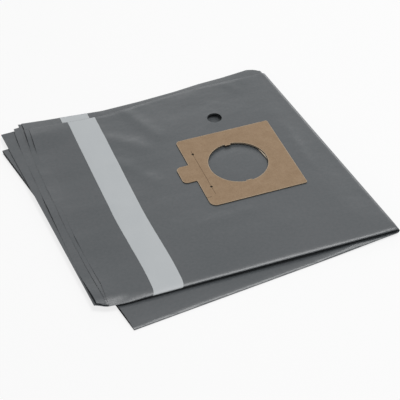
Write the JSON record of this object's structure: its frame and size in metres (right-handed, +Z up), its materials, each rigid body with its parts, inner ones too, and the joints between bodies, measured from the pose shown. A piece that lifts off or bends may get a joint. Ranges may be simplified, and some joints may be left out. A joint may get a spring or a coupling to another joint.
{
  "type": "plastic vacuum cleaner bag",
  "caption": "Grey polyethylene disposal bag for a wet and dry vacuum cleaner, folded flat, with a brown board inlet flange and a pale closure strip.",
  "frame": {"origin": "middle of the folded bag's footprint, on the surface it lies on", "axes": "+X from the open mouth to the crosswise fold, +Y from the front fold to the back fold, +Z up"},
  "size_m": [0.377, 0.3667, 0.0129],
  "materials": {
    "grey_film": "soft sheen",
    "kraft_board": "matte",
    "inner_board": "matte",
    "pale_strip": "satin"
  },
  "bodies": {
    "root": {"bag_film": "grey_film", "flange_front_board": "kraft_board", "flange_back_board": "inner_board", "closure_strip": "pale_strip"}
  },
  "joints": []
}
